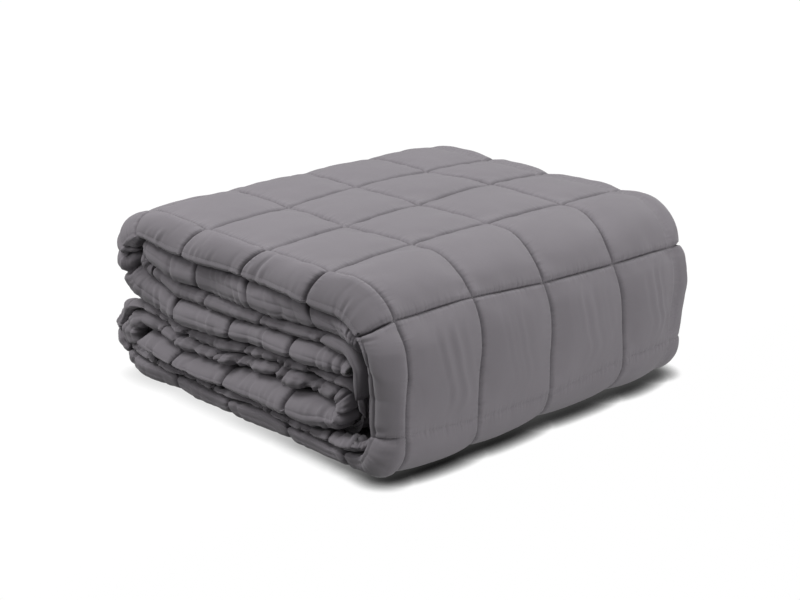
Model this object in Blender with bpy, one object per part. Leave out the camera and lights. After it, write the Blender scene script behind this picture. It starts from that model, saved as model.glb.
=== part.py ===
"""Weighted blanket, quilted in squares and folded into a square stack.

The blanket is one quilted cloth.  It is folded once across its width, so that it
lies double, as an outer and an inner sheet joined by a fold at the far end (+Y).
That pair is then turned over and over along its length into five passes: the
outer sheet wraps the top, the right side (+X) and the underside.  The hems of all
the layers show at the near end (-Y).

Frame: metres, +Z up, X across the turns, Y along the turns, origin on the
resting face below the middle of the stack.  Sizes marked "cells" are counted in
sewn squares.
"""

import math
from collections import namedtuple

import bmesh
import bpy

# ---------------------------------------------------------------- driving sizes
CELL = 0.1016            # one sewn square, 4 in
LAYER_GAP = 0.014        # cells, air between neighbouring layers
SHIFT_X = 0.355          # cells, brings the middle of the stack over the origin

FAR_END = 2.30           # cells, outside of the fold that joins the two sheets
FAR_ROUND = 0.26         # cells, how deep that fold is rounded
HEM_ROUND = 0.13         # cells, how deep the hems are rounded
HEM_STEPS = 4            # divisions round a hem
FAR_STEPS = 6            # divisions round the far fold
LEAST_ROW = 0.03         # cells, least step between rows beside a rounded edge

MIDDLE = 0.0             # cells in Y, one row on the hidden faces
WEB = 2.12               # cells in Y, where the gap between the two sheets closes

CROSS_SEAMS = (-2.00, -0.96, 0.05, 1.10, 1.98)   # cells in Y, seams that run round the turns
CHANNEL_HALF = 0.14      # cells, from a seam to where its channel starts
CHANNEL_DEPTH = 0.15     # of the outer sheet's thickness, how far a seam draws it in
ARC_STEPS = 5            # divisions in each quarter turn
EDGE_ROUND = 0.07        # cells, how deep the free ends of the pair are rounded
EDGE_PINCH = 0.30        # of a sheet's thickness, taken off each face at a free end

# ------------------------------------------------------------------- the layers
# From the bottom up.  sheet: which of the two sheets; thick: cells;
# hem: cells in Y, where its near edge lies.
Layer = namedtuple("Layer", "name sheet thick hem")
LAYERS = (
    Layer("bottom", "outer", 0.186, -2.20),
    Layer("bottom_lining", "inner", 0.090, -2.10),
    Layer("tucked_under", "outer", 0.080, -1.98),
    Layer("tucked", "inner", 0.250, -2.26),
    Layer("lower", "inner", 0.136, -2.20),
    Layer("lower_cover", "outer", 0.126, -2.18),
    Layer("upper_base", "outer", 0.286, -2.25),
    Layer("upper", "inner", 0.126, -2.18),
    Layer("top_lining", "inner", 0.246, -2.22),
    Layer("top", "outer", 0.350, -2.30),
)

# Each pass is two layers, named in the order in which the pair runs.
Pass = namedtuple("Pass", "outer inner")
PASSES = (
    Pass("upper_base", "upper"),
    Pass("top", "top_lining"),
    Pass("bottom", "bottom_lining"),
    Pass("lower_cover", "lower"),
    Pass("tucked_under", "tucked"),
)
FIRST_EDGE = 1.44        # cells in X, free end of the first pass
LAST_EDGE = -2.14        # cells in X, free end of the last pass

# Each turn joins two passes.  A face of the pair leaves one pass at
# (x_top, z_top), is furthest out at x_side and meets the other at
# (x_bottom, z_bottom), on quarter ellipses.  Faces, from outside to inside:
# the outer sheet's two faces, then the inner sheet's two.  All in cells.
Turn = namedtuple("Turn", "x_side x_top z_top x_bottom z_bottom")
TURNS = (
    (   # upper left, from the first pass up to the top
        Turn(-2.480, -1.90, 1.400, -1.90, 1.400),
        Turn(-2.120, -1.90, 1.400, -1.90, 1.400),
        Turn(-2.106, -1.90, 1.400, -1.90, 1.400),
        Turn(-1.950, -1.90, 1.400, -1.90, 1.400),
    ),
    (   # right side, from the top down to the bottom
        Turn(1.950, 1.10, 1.050, 1.45, 0.500),
        Turn(1.610, 1.15, 1.290, 1.40, 0.450),
        Turn(1.596, 1.15, 1.290, 1.40, 0.450),
        Turn(1.500, 1.34, 1.230, 1.40, 0.450),
    ),
    (   # lower left, from the bottom up to the third pass
        Turn(-2.660, -2.10, 0.490, -2.10, 0.490),
        Turn(-2.530, -2.10, 0.490, -2.10, 0.490),
        Turn(-2.516, -2.10, 0.490, -2.10, 0.490),
        Turn(-2.240, -2.10, 0.490, -2.10, 0.490),
    ),
    (   # lower right, tucked inside the right side
        Turn(1.484, 1.25, 0.655, 1.25, 0.655),
        Turn(1.450, 1.25, 0.655, 1.25, 0.655),
        Turn(1.436, 1.25, 0.655, 1.25, 0.655),
        Turn(1.370, 1.25, 0.655, 1.25, 0.655),
    ),
)

# Seams that run along the turns, in cells of length over the outer face.
LENGTH_SEAMS = (1.04, 2.04, 2.99, 3.98, 4.95, 5.93, 6.89, 7.91, 8.98, 10.28,
                11.05, 11.95, 12.90, 13.85) + tuple(14.85 + count for count in range(9))

CLOTH_COLOUR = (0.205, 0.200, 0.210, 1.0)
FACES = 4                # faces of the pair, outside to inside


# -------------------------------------------------------------- section geometry
def between(a, b, part):
    """A point part of the way from one section point to another."""
    return a[0] + (b[0] - a[0]) * part, a[1] + (b[1] - a[1]) * part


def layer_heights():
    """Height of the underside and top of each layer, in cells."""
    heights = {}
    level = 0.0
    for layer in LAYERS:
        heights[layer.name] = (level, level + layer.thick)
        level += layer.thick + LAYER_GAP
    return heights


HEIGHTS = layer_heights()
HEMS = {layer.name: layer.hem for layer in LAYERS}


def face_height(index, face):
    """Height of one face of the pair on a pass."""
    row = PASSES[index]
    name = row.outer if face < 2 else row.inner
    low, high = HEIGHTS[name]
    outer_is_lower = HEIGHTS[row.outer][0] < HEIGHTS[row.inner][0]
    from_outside = (low, high) if outer_is_lower else (high, low)
    return from_outside[face % 2]


def pass_span(index, face):
    """Where a face of a pass starts and ends in X."""
    goes_left = index % 2 == 0
    start = FIRST_EDGE
    end = LAST_EDGE
    if index > 0:
        turn = TURNS[index - 1][face]
        start = turn.x_top if goes_left is False else turn.x_bottom
    if index < len(PASSES) - 1:
        turn = TURNS[index][face]
        end = turn.x_bottom if goes_left else turn.x_top
    return start, end


def pass_point(index, face, part):
    start, end = pass_span(index, face)
    return start + (end - start) * part, face_height(index, face)


def turn_point(index, face, quarter, part):
    """A point on a turn: quarter 0 leaves the pass, 1 is the side, 2 arrives."""
    turn = TURNS[index][face]
    climbs = index % 2 == 0
    leave = (turn.x_bottom, turn.z_bottom) if climbs else (turn.x_top, turn.z_top)
    arrive = (turn.x_top, turn.z_top) if climbs else (turn.x_bottom, turn.z_bottom)
    if quarter == 1:
        return turn.x_side, leave[1] + (arrive[1] - leave[1]) * part
    angle = part * math.pi / 2
    centre, height = (leave, face_height(index, face))
    if quarter == 2:
        angle = math.pi / 2 - angle
        centre, height = (arrive, face_height(index + 1, face))
    x = centre[0] + (turn.x_side - centre[0]) * math.sin(angle)
    z = centre[1] + (height - centre[1]) * math.cos(angle)
    return x, z


def segments():
    """Every stretch of the path in order, as functions of face and part."""
    for index in range(len(PASSES)):
        yield ("pass", index, lambda face, part, i=index: pass_point(i, face, part))
        if index == len(PASSES) - 1:
            return
        turn = TURNS[index][0]
        quarters = (0, 2) if turn.z_top == turn.z_bottom else (0, 1, 2)
        for quarter in quarters:
            yield ("turn", index, lambda face, part, i=index, q=quarter:
                   turn_point(i, face, q, part))


def segment_length(place):
    """Length of a stretch over the outer face."""
    steps = 24
    points = [place(0, step / steps) for step in range(steps + 1)]
    return sum(math.dist(a, b) for a, b in zip(points, points[1:]))


# ----------------------------------------------------------------- the stations
Station = namedtuple("Station", "faces hem_outer hem_inner seam plain")


def seam_draw(length):
    """How much the nearest length seam draws the cloth in, 0 to 1."""
    nearest = min(abs(length - seam) for seam in LENGTH_SEAMS)
    return 1.0 if nearest < 0.02 else 0.0


def segment_parts(kind, length_before, length):
    """Divisions of one stretch: its ends, its seams and its curve."""
    steps = 1 if kind == "pass" else ARC_STEPS
    parts = {step / steps for step in range(steps + 1)}
    if length_before == 0.0:
        parts.add(EDGE_ROUND / length)
    for seam in LENGTH_SEAMS:
        for offset in (-CHANNEL_HALF, 0.0, CHANNEL_HALF):
            part = (seam + offset - length_before) / length
            if 0.0 < part < 1.0:
                closest = min(parts, key=lambda other: abs(other - part))
                clear = abs(closest - part) * length > CHANNEL_HALF * 0.45
                if offset == 0.0 and not clear and closest not in (0.0, 1.0):
                    parts.discard(closest)
                if clear or offset == 0.0:
                    parts.add(part)
    return sorted(parts)


def hem_lines(kind, index, part):
    """Near edges of the outer and inner sheet, eased from pass to pass on a turn."""
    here = (HEMS[PASSES[index].outer], HEMS[PASSES[index].inner])
    if kind == "pass":
        return here
    there = (HEMS[PASSES[index + 1].outer], HEMS[PASSES[index + 1].inner])
    blend = 0.5 - 0.5 * math.cos(part * math.pi)
    return tuple(a + (b - a) * blend for a, b in zip(here, there))


def pinched(faces):
    """The faces at a free end, each drawn towards the middle of its sheet."""
    outside, outer_back, inner_back, inside = faces
    return [between(outside, outer_back, EDGE_PINCH),
            between(outer_back, outside, EDGE_PINCH),
            between(inner_back, inside, EDGE_PINCH),
            between(inside, inner_back, EDGE_PINCH)]


def stations():
    rows = []
    travelled = 0.0
    stretches = list(segments())
    last = len(stretches) - 1
    for number, (kind, index, place) in enumerate(stretches):
        length = segment_length(place)
        parts = segment_parts(kind, travelled, length)
        if number == last:
            parts.insert(-1, 1.0 - EDGE_ROUND / length)
        else:
            parts.pop()
        turn_stretches = [n for n, row in enumerate(stretches) if row[:2] == ("turn", index)]
        for part in parts:
            faces = [place(face, part) for face in range(FACES)]
            free_end = (number, part) in ((0, 0.0), (last, 1.0))
            if free_end:
                faces = pinched(faces)
            through = part
            if kind == "turn":
                through = (number - turn_stretches[0] + part) / len(turn_stretches)
            hem_outer, hem_inner = hem_lines(kind, index, through)
            rests = kind == "pass" and PASSES[index].outer == "bottom"
            plain = rests or free_end
            seam = seam_draw(travelled + part * length)
            rows.append(Station(faces, hem_outer, hem_inner, seam, plain))
        travelled += length
    return rows


# ------------------------------------------------------------------ the profile
def outer_face_rows(hem):
    """Y of the outer face's points, each with how much a cross seam draws it in.

    Rows that would pass a rounded edge are kept in order just inside it.
    """
    rows = []
    for seam in CROSS_SEAMS:
        rows += [(seam - CHANNEL_HALF, 0.0), (seam, 1.0), (seam + CHANNEL_HALF, 0.0)]
    near = hem + HEM_ROUND
    far = FAR_END - FAR_ROUND
    count = len(rows)
    return [(min(max(y, near + LEAST_ROW * (row + 1)), far - LEAST_ROW * (count - row)), draw)
            for row, (y, draw) in enumerate(rows)]


def rounded(start, end, y_edge, depth, from_step, to_step, steps):
    """Points from one face to another round an edge that lies at y_edge."""
    points = []
    for step in range(from_step, to_step + 1):
        angle = math.pi * step / steps
        x, z = between(start, end, 0.5 - 0.5 * math.cos(angle))
        points.append((x, y_edge + depth * (1.0 - math.sin(angle)), z))
    return points


def outside_chain(station):
    """From the middle of the outer hem, round the far fold, to the middle of the inner hem."""
    outside, outer_back, inner_back, inside = station.faces
    half = HEM_STEPS // 2
    chain = rounded(outer_back, outside, station.hem_outer, HEM_ROUND, half, HEM_STEPS, HEM_STEPS)
    for y, cross in outer_face_rows(station.hem_outer):
        draw = 0.0 if station.plain else CHANNEL_DEPTH * max(cross, station.seam)
        x, z = between(outside, outer_back, draw)
        chain.append((x, y, z))
    chain += rounded(outside, inside, FAR_END, -FAR_ROUND, 0, FAR_STEPS, FAR_STEPS)
    chain.append((inside[0], MIDDLE, inside[1]))
    chain += rounded(inside, inner_back, station.hem_inner, HEM_ROUND, 0, half, HEM_STEPS)
    return chain


def inside_chain(station):
    """The same way, but through the gap between the two sheets, without the hems' middles."""
    outside, outer_back, inner_back, inside = station.faces
    half = HEM_STEPS // 2
    chain = rounded(outer_back, outside, station.hem_outer, HEM_ROUND, 0, half - 1, HEM_STEPS)
    chain.reverse()
    for face, y in ((outer_back, MIDDLE), (outer_back, WEB), (inner_back, WEB), (inner_back, MIDDLE)):
        chain.append((face[0], y, face[1]))
    back = rounded(inside, inner_back, station.hem_inner, HEM_ROUND, half + 1, HEM_STEPS, HEM_STEPS)
    return chain + back[::-1]


# ------------------------------------------------------------------- the object
def cloth_material():
    material = bpy.data.materials.new("grey_cloth")
    material.use_nodes = True
    shader = material.node_tree.nodes["Principled BSDF"]
    shader.inputs["Base Color"].default_value = CLOTH_COLOUR
    shader.inputs["Roughness"].default_value = 0.85
    shader.inputs["Metallic"].default_value = 0.0
    return material


def way_round(chain):
    """How far along the doubled cloth each point of a chain is: out to the far fold, and back."""
    ys = [point[1] for point in chain]
    turn = ys.index(max(ys))
    return [y if row <= turn else 2 * FAR_END - y for row, y in enumerate(ys)]


def close_end(shape, outside, inside, outside_way, inside_way):
    """Fill one free end of the pair with triangles between its two chains."""
    shape.faces.new((outside[0], outside[1], inside[0]))
    out_at, in_at = 1, 0
    while out_at < len(outside) - 2 or in_at < len(inside) - 1:
        out_left = out_at < len(outside) - 2
        in_left = in_at < len(inside) - 1
        if out_left and (not in_left or outside_way[out_at + 1] < inside_way[in_at + 1]):
            shape.faces.new((outside[out_at], outside[out_at + 1], inside[in_at]))
            out_at += 1
        else:
            shape.faces.new((outside[out_at], inside[in_at + 1], inside[in_at]))
            in_at += 1
    shape.faces.new((outside[-2], outside[-1], inside[-1]))


def build_blanket():
    shape = bmesh.new()
    rows = stations()
    chains = []
    for station in rows:
        chains.append([
            [shape.verts.new(((x + SHIFT_X) * CELL, y * CELL, z * CELL)) for x, y, z in chain]
            for chain in (outside_chain(station), inside_chain(station))])
    rings = [outside + inside[::-1] for outside, inside in chains]
    for ring, following in zip(rings, rings[1:]):
        for here in range(len(ring)):
            there = (here + 1) % len(ring)
            shape.faces.new((ring[here], following[here], following[there], ring[there]))
    for end in (0, -1):
        ways = way_round(outside_chain(rows[end])), way_round(inside_chain(rows[end]))
        close_end(shape, *chains[end], *ways)
    bmesh.ops.triangulate(shape, faces=shape.faces[:])
    bmesh.ops.recalc_face_normals(shape, faces=shape.faces[:])
    mesh = bpy.data.meshes.new("blanket")
    shape.to_mesh(mesh)
    shape.free()
    mesh.shade_smooth()
    mesh.materials.append(cloth_material())
    blanket = bpy.data.objects.new("blanket", mesh)
    bpy.context.scene.collection.objects.link(blanket)
    return blanket


for leftover in list(bpy.data.objects):
    bpy.data.objects.remove(leftover, do_unlink=True)
build_blanket()
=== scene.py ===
# %% [markdown]
# # A weighted blanket, folded
# A weighted blanket is a quilt: two skins of soft cloth with a filling of fibre and
# beads between them, sewn through in squares.  This one is folded double across its
# width, so that two sheets lie on each other, and the pair is turned over and over
# along its length into a square stack.  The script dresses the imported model, which
# holds the plain folded solid, with a quilted surface.
#
# Lengths marked "cells" are counted in sewn squares, as on the cloth itself.

import math

import bmesh
import bpy
import numpy as np
from mathutils import Matrix, Vector


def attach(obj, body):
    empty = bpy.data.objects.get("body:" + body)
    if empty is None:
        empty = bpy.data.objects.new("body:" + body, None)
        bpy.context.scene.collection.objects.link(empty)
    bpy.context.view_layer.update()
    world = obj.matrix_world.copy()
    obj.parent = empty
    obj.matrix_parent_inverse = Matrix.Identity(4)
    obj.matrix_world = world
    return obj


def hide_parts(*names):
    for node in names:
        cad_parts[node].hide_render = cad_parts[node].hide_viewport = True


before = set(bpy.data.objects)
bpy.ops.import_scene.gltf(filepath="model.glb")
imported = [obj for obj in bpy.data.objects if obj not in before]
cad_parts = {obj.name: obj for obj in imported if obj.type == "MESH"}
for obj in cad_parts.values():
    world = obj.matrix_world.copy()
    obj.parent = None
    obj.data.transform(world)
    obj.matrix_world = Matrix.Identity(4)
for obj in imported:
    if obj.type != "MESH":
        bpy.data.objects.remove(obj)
scene = bpy.context.scene
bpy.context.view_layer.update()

# %% [markdown]
# ## Where the folds run
# The section across the turns is the same everywhere along the stack, so it is
# described once: ten layers with their thickness from the bottom up, five passes of
# two layers each, and four turns that join the passes.  The solid in the frame is
# built from the same sizes, so the quilted skin lands on it without any fitting.

# %% Layers, passes and turns of the folded pair
CELL = 0.1016
LAYER_GAP = 0.014
SHIFT_X = 0.355
FAR_END = 2.30
FAR_ROUND = 0.26

# name: (sheet, thickness, y of the near edge, where between the two faces the edge lies,
# how far the near edge droops, how far back its rounding reaches, and its shape, from
# 0.7, square, over 1, round, to 2, a plain slope), lengths in cells
LAYERS = {
    "bottom": ("outer", 0.186, -2.22, 0.78, 0.00, 0.19, 1.00),
    "bottom_lining": ("inner", 0.090, -2.22, 0.55, 0.00, 0.10, 0.95),
    "tucked_under": ("outer", 0.080, -1.98, 0.50, 0.00, 0.05, 0.90),
    "tucked": ("inner", 0.250, -2.31, 0.74, 0.05, 0.26, 1.10),
    "lower": ("inner", 0.136, -2.22, 0.45, 0.01, 0.15, 1.00),
    "lower_cover": ("outer", 0.126, -2.20, 0.60, 0.01, 0.14, 1.00),
    "upper_base": ("outer", 0.286, -2.28, 0.36, 0.00, 0.24, 1.05),
    "upper": ("inner", 0.126, -2.22, 0.60, 0.00, 0.14, 1.00),
    "top_lining": ("inner", 0.246, -2.27, 0.36, 0.00, 0.22, 1.00),
    "top": ("outer", 0.350, -2.31, 0.88, 0.00, 0.27, 1.40),
}
PASSES = (
    ("upper_base", "upper"),
    ("top", "top_lining"),
    ("bottom", "bottom_lining"),
    ("lower_cover", "lower"),
    ("tucked_under", "tucked"),
)
FIRST_EDGE = 1.44
LAST_EDGE = -2.14

# Each turn, face by face from outside to inside: x at its side, then the centres of
# its upper and lower quarter as (x, z), in cells.
def even_turn(sides, centre):
    """Faces of a turn whose upper and lower quarter share one centre."""
    return tuple((side, centre, centre) for side in sides)


TURNS = (
    even_turn((-2.540, -2.120, -2.106, -1.950), (-1.90, 1.400)),
    ((1.950, (1.10, 1.050), (1.45, 0.500)),
     (1.610, (1.15, 1.290), (1.40, 0.450)),
     (1.596, (1.15, 1.290), (1.40, 0.450)),
     (1.500, (1.34, 1.230), (1.40, 0.450))),
    even_turn((-2.690, -2.550, -2.536, -2.260), (-2.10, 0.490)),
    even_turn((1.370, 1.310, 1.296), (1.14, 0.655)) + even_turn((1.090,), (1.05, 0.655)),
)
OUTSIDE, OUTER_BACK, INNER_BACK, INSIDE = range(4)
# The exposed face and the back of each sheet
SHEETS = {"outer": (OUTSIDE, OUTER_BACK), "inner": (INSIDE, INNER_BACK)}

# Seams, in cells: those along the turns by length over the outside, those across by y.
LENGTH_SEAMS = np.array(
    [0.04, 1.04, 2.04, 2.99, 3.98, 4.98, 5.99, 6.95, 7.97, 9.04, 10.16, 11.11, 12.01, 12.96,
     13.91] + [14.91 + count for count in range(9)] + [23.7])
CROSS_SEAMS = np.array([-2.00, -0.96, 0.05, 1.10, 1.98])


def layer_heights():
    """Underside and top of each layer, in cells."""
    heights, level = {}, 0.0
    for name, row in LAYERS.items():
        heights[name] = (level, level + row[1])
        level += row[1] + LAYER_GAP
    return heights


HEIGHTS = layer_heights()
print("stack", round(HEIGHTS["top"][1] * CELL * 1000), "mm high from", len(LAYERS), "layers")


# %% The four faces of the pair as lines in the section
def face_height(index, face):
    outer, inner = PASSES[index]
    low, high = HEIGHTS[outer if face < INNER_BACK else inner]
    flipped = HEIGHTS[outer][0] > HEIGHTS[inner][0]
    return (low, high)[(face + flipped) % 2]


def pass_ends(index, face):
    quarter = 2 - index % 2
    start = TURNS[index - 1][face][quarter][0] if index > 0 else FIRST_EDGE
    end = TURNS[index][face][quarter][0] if index < len(TURNS) else LAST_EDGE
    return start, end


def stretch_point(kind, index, quarter, face, part):
    """Section point (x, z) of a face, part of the way along a pass or a quarter turn."""
    if kind == "pass":
        start, end = pass_ends(index, face)
        return np.array([start + (end - start) * part, face_height(index, face) + 0 * part])
    side, upper, lower = TURNS[index][face]
    leave, arrive = (lower, upper) if index % 2 == 0 else (upper, lower)
    if quarter == 1:
        return np.array([side + 0 * part, leave[1] + (arrive[1] - leave[1]) * part])
    angle = part * math.pi / 2
    centre, height = leave, face_height(index, face)
    if quarter == 2:
        angle = math.pi / 2 - angle
        centre, height = arrive, face_height(index + 1, face)
    return np.array([centre[0] + (side - centre[0]) * np.sin(angle),
                     centre[1] + (height - centre[1]) * np.cos(angle)])


def stretches():
    for index in range(len(PASSES)):
        yield "pass", index, 0
        if index < len(PASSES) - 1:
            straight = TURNS[index][0][1][1] != TURNS[index][0][2][1]
            for quarter in ((0, 1, 2) if straight else (0, 2)):
                yield "turn", index, quarter


def run_of(*line):
    """Length travelled along a line, given by its coordinates, from 0 at its start."""
    return np.concatenate([[0], np.hypot(*(np.diff(values) for values in line)).cumsum()])


def trace(steps=64):
    """Dense section lines of the four faces, against length over the outside."""
    length, points, kinds = [], [[], [], [], []], []
    travelled = 0.0
    for number, (kind, index, quarter) in enumerate(stretches()):
        part = np.linspace(0, 1, steps + 1)
        line = stretch_point(kind, index, quarter, OUTSIDE, part)
        size = np.hypot(*np.diff(line)).sum()
        keep = slice(0 if number == 0 else 1, None)
        length.append((travelled + part * size)[keep])
        for face in range(4):
            points[face].append(stretch_point(kind, index, quarter, face, part)[:, keep])
        kinds.append((kind, index, travelled, travelled + size))
        travelled += size
    return np.concatenate(length), [np.concatenate(p, axis=1) for p in points], kinds


TRACE_LENGTH, TRACE_POINTS, STRETCHES = trace()
PATH_LENGTH = float(TRACE_LENGTH[-1])
print("cloth length over the outside", round(PATH_LENGTH, 2), "cells")


def face_at(face, u):
    """Section points of a face at lengths u, as two arrays x and z."""
    return tuple(np.interp(u, TRACE_LENGTH, line) for line in TRACE_POINTS[face])


# %% [markdown]
# ## Uneven layers
# Ten heavy layers never lie dead level.  At the near end, where the hems show, each
# line between two layers wanders up and down by a few millimetres.  One map does that
# for all of them: it moves heights up or down by a table of offsets, and since the
# offsets keep their order, no layer can pass through the next.

# %% The lines between the layers, and how far each wanders at the near end
LINE_COLUMNS = np.arange(-2.0, 2.0, 0.5)
# Rise of each line at these x, in hundredths of a cell
LINE_OFFSETS = {
    "floor": (0, 0, 0, 0, 0, 0, 0, 0),
    "bottom": (3, 1, 0, 2, 3, -1, -2, 3),
    "bottom_lining": (2, 0, 0, 0, 0, -2, -2, 3),
    "tucked_under": (3, 0, -2, -2, -1, -2, -1, 5),
    "tucked": (-4, -12, -12, -7, -2, -2, -2, -3),
    "lower": (0, -12, -13, -7, -1, 1, 3, 4),
    "lower_cover": (-3, -13, -10, -7, -1, -1, 1, 0),
    "upper_base": (-2, -15, -14, -13, -10, -8, -5, -10),
    "upper": (6, -9, -9, -9, -8, -6, -2, -5),
    "top_lining": (4, -3, -2, -1, -2, -1, -6, -10),
    "top": (-3, -4, -4, -5, -4, -4, -3, -2),
}
LINE_LEVELS = np.array([0.0] + [HEIGHTS[name][1] + LAYER_GAP / 2 for name in LAYERS])
LINE_TABLE = np.array(list(LINE_OFFSETS.values())) / 100
SETTLED = (0.9, 2.1)
FAR_SETTLING = 0.6
print("lines wander by up to", round(np.abs(LINE_TABLE).max() * CELL * 1000), "mm")


def ease(part):
    """Parts 0 to 1 with a soft start and a soft end."""
    return part * part * (3 - 2 * part)


def smooth_step(value, low, high):
    return ease(np.clip((value - low) / (high - low), 0, 1))


def mix(first, second, part):
    return first * (1 - part) + second * part


def place_in(marks, values):
    """Number of the mark below each value, and how far it is towards the next mark."""
    here = np.clip(np.interp(values, marks, np.arange(len(marks))), 0, len(marks) - 1.001)
    below = here.astype(int)
    return below, here - below


def settle(x, y, z):
    """Heights z after the layers have settled unevenly, all in cells."""
    near, far = smooth_step(-y, *SETTLED), smooth_step(y, *SETTLED)
    (left, share), (below, rise) = place_in(LINE_COLUMNS, x), place_in(LINE_LEVELS, z)

    def offsets(column, part):
        return mix(*(mix(LINE_TABLE[line, column], LINE_TABLE[line, column + 1], part)
                     for line in (below, below + 1)), rise)

    mirrored = offsets(len(LINE_COLUMNS) - 2 - left, 1 - share)
    return z + offsets(left, share) * near + FAR_SETTLING * mirrored * far


# %% [markdown]
# ## The quilting, from a cloth simulation
# A sewn square is not a smooth pillow.  Its seams are fixed in length while the cloth
# between them is fuller, so it crowns and puckers towards the stitching.  Sculpting
# that by hand looks regular.  So a flat sample of four by four squares is pinned along
# its seams and blown up as cloth, once, and its sixteen squares are the stock that all
# squares of the blanket are cut from.

# %% Inflate a quilted sample and keep its heights
SAMPLE = 4
TILE = 24
FRAMES = 25


def into_scene(name, data):
    """A new object that shows some data, linked into the scene."""
    made = bpy.data.objects.new(name, data)
    scene.collection.objects.link(made)
    return made


def sample_heights():
    """Heights over the sample, in cells, on a grid of TILE divisions per square."""
    count = SAMPLE * TILE + 1
    steps = np.arange(count)
    seam = (steps[:, None] % TILE == 0) | (steps[None, :] % TILE == 0)
    plan = np.stack(np.meshgrid(steps, steps, indexing="ij"), -1) * (CELL / TILE)
    rest = np.random.default_rng(1).normal(0, 0.0004, (count, count, 1)) * ~seam[..., None]
    corner = (steps[:-1, None] * count + steps[None, :-1]).ravel()
    mesh = bpy.data.meshes.new("sample")
    mesh.from_pydata(
        np.concatenate([plan, rest], -1).reshape(-1, 3).tolist(), [],
        np.stack([corner, corner + count, corner + count + 1, corner + 1], -1).tolist())
    sample = into_scene("sample", mesh)
    pins = sample.vertex_groups.new(name="seams")
    pins.add(np.nonzero(seam.ravel())[0].tolist(), 1.0, "REPLACE")
    cloth = sample.modifiers.new("Cloth", "CLOTH")
    sizes = cloth.settings
    sizes.quality, sizes.mass, sizes.air_damping = 5, 0.2, 2
    sizes.tension_stiffness = sizes.compression_stiffness = 15
    sizes.shear_stiffness, sizes.bending_stiffness = 6, 4
    sizes.tension_damping = sizes.compression_damping = sizes.shear_damping = 5
    sizes.vertex_group_mass, sizes.pin_stiffness = "seams", 50
    sizes.shrink_min = -0.03
    sizes.use_pressure, sizes.uniform_pressure_force = True, 3
    sizes.effector_weights.gravity = 0
    cloth.collision_settings.use_collision = False
    cloth.point_cache.frame_start, cloth.point_cache.frame_end = 1, FRAMES
    for frame_number in range(1, FRAMES + 1):
        scene.frame_set(frame_number)
    result = sample.evaluated_get(bpy.context.evaluated_depsgraph_get())
    places = np.empty(count * count * 3)
    result.data.vertices.foreach_get("co", places)
    bpy.data.objects.remove(sample)
    bpy.data.meshes.remove(mesh)
    scene.frame_set(1)
    return places.reshape(count, count, 3)[..., 2] / CELL, seam


def calm(heights, fixed, passes):
    """Smooth a grid of heights, with the fixed points kept."""
    kept = heights.copy()
    for _ in range(passes):
        for axis in (0, 1):
            heights = (np.roll(heights, 1, axis) + 2 * heights + np.roll(heights, -1, axis)) / 4
        heights[fixed] = kept[fixed]
    return heights


SAMPLE_HEIGHTS = calm(*sample_heights(), 2)
SQUARES = np.stack([SAMPLE_HEIGHTS[a * TILE:(a + 1) * TILE + 1, b * TILE:(b + 1) * TILE + 1]
                    for a in range(SAMPLE) for b in range(SAMPLE)])
CROWN = float(np.median(SQUARES.max((1, 2))))
print("squares simulated:", len(SQUARES), " usual crown", round(CROWN * CELL * 1000, 1), "mm")


# %% Lay the stock of squares over the blanket
STOCK = (60, 30)


def square_fullness(across, along, which_across, which_along, seed):
    """Fullness (0 at a seam, about 1 at a crown) at parts 0 to 1 across a numbered square."""
    picks = np.random.default_rng(seed).integers(0, [[[len(SQUARES), 2, 2, 2]]], (*STOCK, 4))
    square, turned, mirrored, swapped = np.moveaxis(
        picks[which_across % STOCK[0], which_along % STOCK[1]], -1, 0)
    across = np.where(turned, 1 - across, across)
    along = np.where(mirrored, 1 - along, along)
    across, along = np.where(swapped, along, across), np.where(swapped, across, along)
    a, b = np.clip(across, 0, 1) * TILE, np.clip(along, 0, 1) * TILE
    low_a, low_b = np.minimum(a.astype(int), TILE - 1), np.minimum(b.astype(int), TILE - 1)
    sides = (mix(SQUARES[square, low_a, side], SQUARES[square, low_a + 1, side], a - low_a)
             for side in (low_b, low_b + 1))
    return mix(*sides, b - low_b) / CROWN


def between(seams, places):
    """Number of the gap between seams that each place is in, and how far across it."""
    which = np.clip(np.searchsorted(seams, places, side="right") - 1, 0, len(seams) - 2)
    return which, np.clip((places - seams[which]) / (seams[which + 1] - seams[which]), 0, 1)


def ripple(places, seed, wavelength):
    """Uneven wave of about unit height along a line, the same each run."""
    rng = np.random.default_rng(seed)
    total = 0.0
    for _ in range(6):
        turns = places / (wavelength * rng.uniform(0.7, 1.6)) + rng.random()
        total = total + np.sin(2 * np.pi * turns)
    return total / 2.4


# %% [markdown]
# ## Sections through the pair
# At every station along the folds the cloth has a profile: over the exposed face, round
# the far fold, and at the near end round its hem.  The hem is the pinched edge where the
# two skins are turned in and stitched, so the profile has a small bead and a groove there.

# %% Values that change along the folds
def spans(kind, count):
    """Lengths at which each pass or turn starts and ends."""
    rows = [[row[2:] for row in STRETCHES if row[:2] == (kind, index)] for index in range(count)]
    return [(parts[0][0], parts[-1][1]) for parts in rows]


PASS_SPANS, TURN_SPANS = spans("pass", len(PASSES)), spans("turn", len(TURNS))
(T0_LOW, T0_HIGH), (T1_LOW, T1_HIGH), (T2_LOW, T2_HIGH), (T3_LOW, T3_HIGH) = TURN_SPANS
EDGE, TIP, DROOP, REACH, SHAPE = range(2, 7)
print("turns lie at", [tuple(round(v, 2) for v in span) for span in TURN_SPANS])


def along_passes(u, values):
    """A value for each pass, eased from one to the next round the turns."""
    low, part = place_in(np.ravel(PASS_SPANS), u)
    values = np.repeat(values, 2)
    return mix(values[low], values[low + 1], ease(part))


def sheet_column(sheet, column):
    return [row[column] for names in PASSES for row in map(LAYERS.get, names) if row[0] == sheet]


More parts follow.
